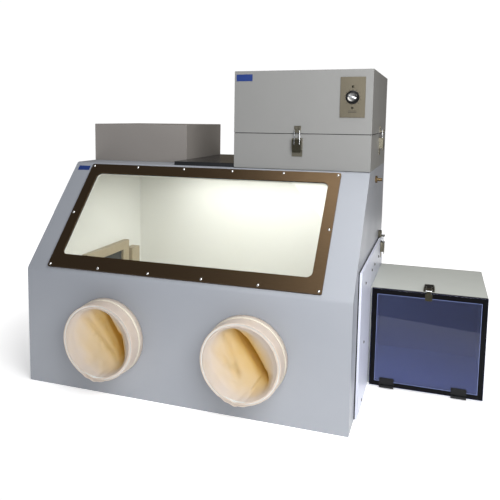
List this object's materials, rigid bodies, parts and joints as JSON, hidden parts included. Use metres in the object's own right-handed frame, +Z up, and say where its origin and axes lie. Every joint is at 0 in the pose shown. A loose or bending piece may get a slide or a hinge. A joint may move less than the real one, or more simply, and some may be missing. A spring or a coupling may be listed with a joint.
{
  "type": "laboratory glove box",
  "caption": "Bench glove box: sloped window, round glove ports with latex gloves, roof light hood, latched filter and blower unit, side transfer chamber with hinged smoked door.",
  "frame": {"origin": "centre of the main cabinet's base, on the surface that it stands on", "axes": "+X towards the transfer chamber, along the window; -Y towards the operator; +Z up"},
  "size_m": [1.29, 0.803, 0.94],
  "materials": {
    "cabinet_paint": "gloss",
    "roof_mat": "satin",
    "seal_rubber": "matte",
    "clear_acrylic": "gloss",
    "frame_brown": "satin",
    "screw_steel": "polished",
    "ring_plastic": "gloss",
    "band_rubber": "satin",
    "glove_latex": "satin",
    "hood_paint": "gloss",
    "diffuser": "frosted",
    "lamp_glass": "frosted",
    "socket_plastic": "satin",
    "unit_paint": "gloss",
    "filter_paper": "matte",
    "galvanised": "satin",
    "motor_black": "satin",
    "impeller_steel": "satin",
    "latch_steel": "satin",
    "latch_dark": "satin",
    "wire_steel": "polished",
    "brushed_plate": "brushed",
    "knob_black": "gloss",
    "label_blue": "gloss",
    "brass": "satin",
    "flange_paint": "gloss",
    "flange_screw_steel": "satin",
    "chamber_paint": "gloss",
    "smoked_acrylic": "gloss",
    "hinge_black": "satin",
    "handle_steel": "brushed",
    "beige_paint": "satin",
    "filter_pad": "matte"
  },
  "bodies": {
    "cabinet": {"floor_panel": "cabinet_paint", "front_panel": "cabinet_paint", "window_panel": "cabinet_paint", "roof_panel": "cabinet_paint", "left_side_panel": "cabinet_paint", "right_side_panel": "cabinet_paint", "back_panel": "cabinet_paint", "roof_mat": "roof_mat", "window_seal": "seal_rubber", "filter_seal": "seal_rubber", "chamber_gasket": "seal_rubber", "outer_door_seal": "seal_rubber", "inner_door_seal": "seal_rubber", "window_pane": "clear_acrylic", "window_frame": "frame_brown", "window_screws": "screw_steel", "control_screws": "screw_steel", "left_port_ring": "ring_plastic", "right_port_ring": "ring_plastic", "cuff_bands": "band_rubber", "left_glove": "glove_latex", "right_glove": "glove_latex", "light_housing": "hood_paint", "light_lens": "diffuser", "lamp_tubes": "lamp_glass", "lamp_holders": "socket_plastic", "filter_housing": "unit_paint", "blower_cover": "unit_paint", "hepa_filter": "filter_paper", "blower_scroll": "galvanised", "blower_motor": "motor_black", "speed_control": "motor_black", "latch_bases": "latch_steel", "latch_keepers": "latch_steel", "control_plate": "brushed_plate", "label_plates": "label_blue", "gas_fitting": "brass", "chamber_flange": "flange_paint", "flange_screws": "flange_screw_steel", "chamber_shell": "chamber_paint", "hinge_bases": "hinge_black", "inlet_frame": "beige_paint", "outlet_box": "beige_paint", "inlet_pad": "filter_pad"},
    "front_lever": {"front_latch_lever": "latch_dark"},
    "front_bail": {"front_latch_bail": "wire_steel"},
    "side_lever": {"side_latch_lever": "latch_steel"},
    "side_bail": {"side_latch_bail": "wire_steel"},
    "flange_lever": {"flange_latch_lever": "latch_steel"},
    "flange_bail": {"flange_latch_bail": "wire_steel"},
    "door_lever": {"door_latch_lever": "latch_dark"},
    "door_bail": {"door_latch_bail": "wire_steel"},
    "outer_door": {"outer_door": "smoked_acrylic", "outer_hinge_leaves": "hinge_black", "door_latch_keeper": "latch_steel"},
    "inner_door": {"inner_door": "clear_acrylic", "inner_hinge_leaves": "hinge_black", "inner_door_handle": "handle_steel"},
    "control_knob": {"speed_knob": "knob_black"},
    "fan_wheel": {"impeller": "impeller_steel"}
  },
  "joints": [
    {"name": "front_latch", "type": "hinge", "parent": "cabinet", "child": "front_lever", "pos_m": [0.268, -0.093, 0.735], "axis": [-1, 0, 0], "range_deg": [0, 80]},
    {"name": "front_bail_swing", "type": "hinge", "parent": "front_lever", "child": "front_bail", "pos_m": [0.268, -0.093, 0.725], "axis": [-1, 0, 0], "range_deg": [-60, 0]},
    {"name": "side_latch", "type": "hinge", "parent": "cabinet", "child": "side_lever", "pos_m": [0.488, 0.16, 0.735], "axis": [0, -1, 0], "range_deg": [0, 80]},
    {"name": "side_bail_swing", "type": "hinge", "parent": "side_lever", "child": "side_bail", "pos_m": [0.488, 0.16, 0.725], "axis": [0, -1, 0], "range_deg": [-60, 0]},
    {"name": "flange_latch", "type": "hinge", "parent": "cabinet", "child": "flange_lever", "pos_m": [0.497, 0.255, 0.382], "axis": [0, -1, 0], "range_deg": [0, 80]},
    {"name": "flange_bail_swing", "type": "hinge", "parent": "flange_lever", "child": "flange_bail", "pos_m": [0.497, 0.255, 0.372], "axis": [0, -1, 0], "range_deg": [-60, 0]},
    {"name": "door_latch", "type": "hinge", "parent": "cabinet", "child": "door_lever", "pos_m": [0.652, -0.016, 0.312], "axis": [1, 0, 0], "range_deg": [0, 80]},
    {"name": "door_bail_swing", "type": "hinge", "parent": "door_lever", "child": "door_bail", "pos_m": [0.652, -0.006, 0.312], "axis": [1, 0, 0], "range_deg": [-60, 0]},
    {"name": "outer_door_hinge", "type": "hinge", "parent": "cabinet", "child": "outer_door", "pos_m": [0.645, -0.044, 0.008], "axis": [1, 0, 0], "range_deg": [0, 90]},
    {"name": "inner_door_hinge", "type": "hinge", "parent": "cabinet", "child": "inner_door", "pos_m": [0.458, 0.306, 0.156], "axis": [0, 0, -1], "range_deg": [0, 90]},
    {"name": "speed_turn", "type": "hinge", "parent": "cabinet", "child": "control_knob", "pos_m": [0.424, -0.088, 0.861], "axis": [0, -1, 0], "range_deg": [-135, 135]},
    {"name": "fan_spin", "type": "hinge", "parent": "cabinet", "child": "fan_wheel", "pos_m": [0.276, 0.1425, 0.797], "axis": [0, 0, 1], "continuous": true}
  ],
  "couplings": [
    {"joint": "front_bail_swing", "follows": "front_latch", "ratio": -0.75},
    {"joint": "side_bail_swing", "follows": "side_latch", "ratio": -0.75},
    {"joint": "flange_bail_swing", "follows": "flange_latch", "ratio": -0.75},
    {"joint": "door_bail_swing", "follows": "door_latch", "ratio": -0.75}
  ]
}
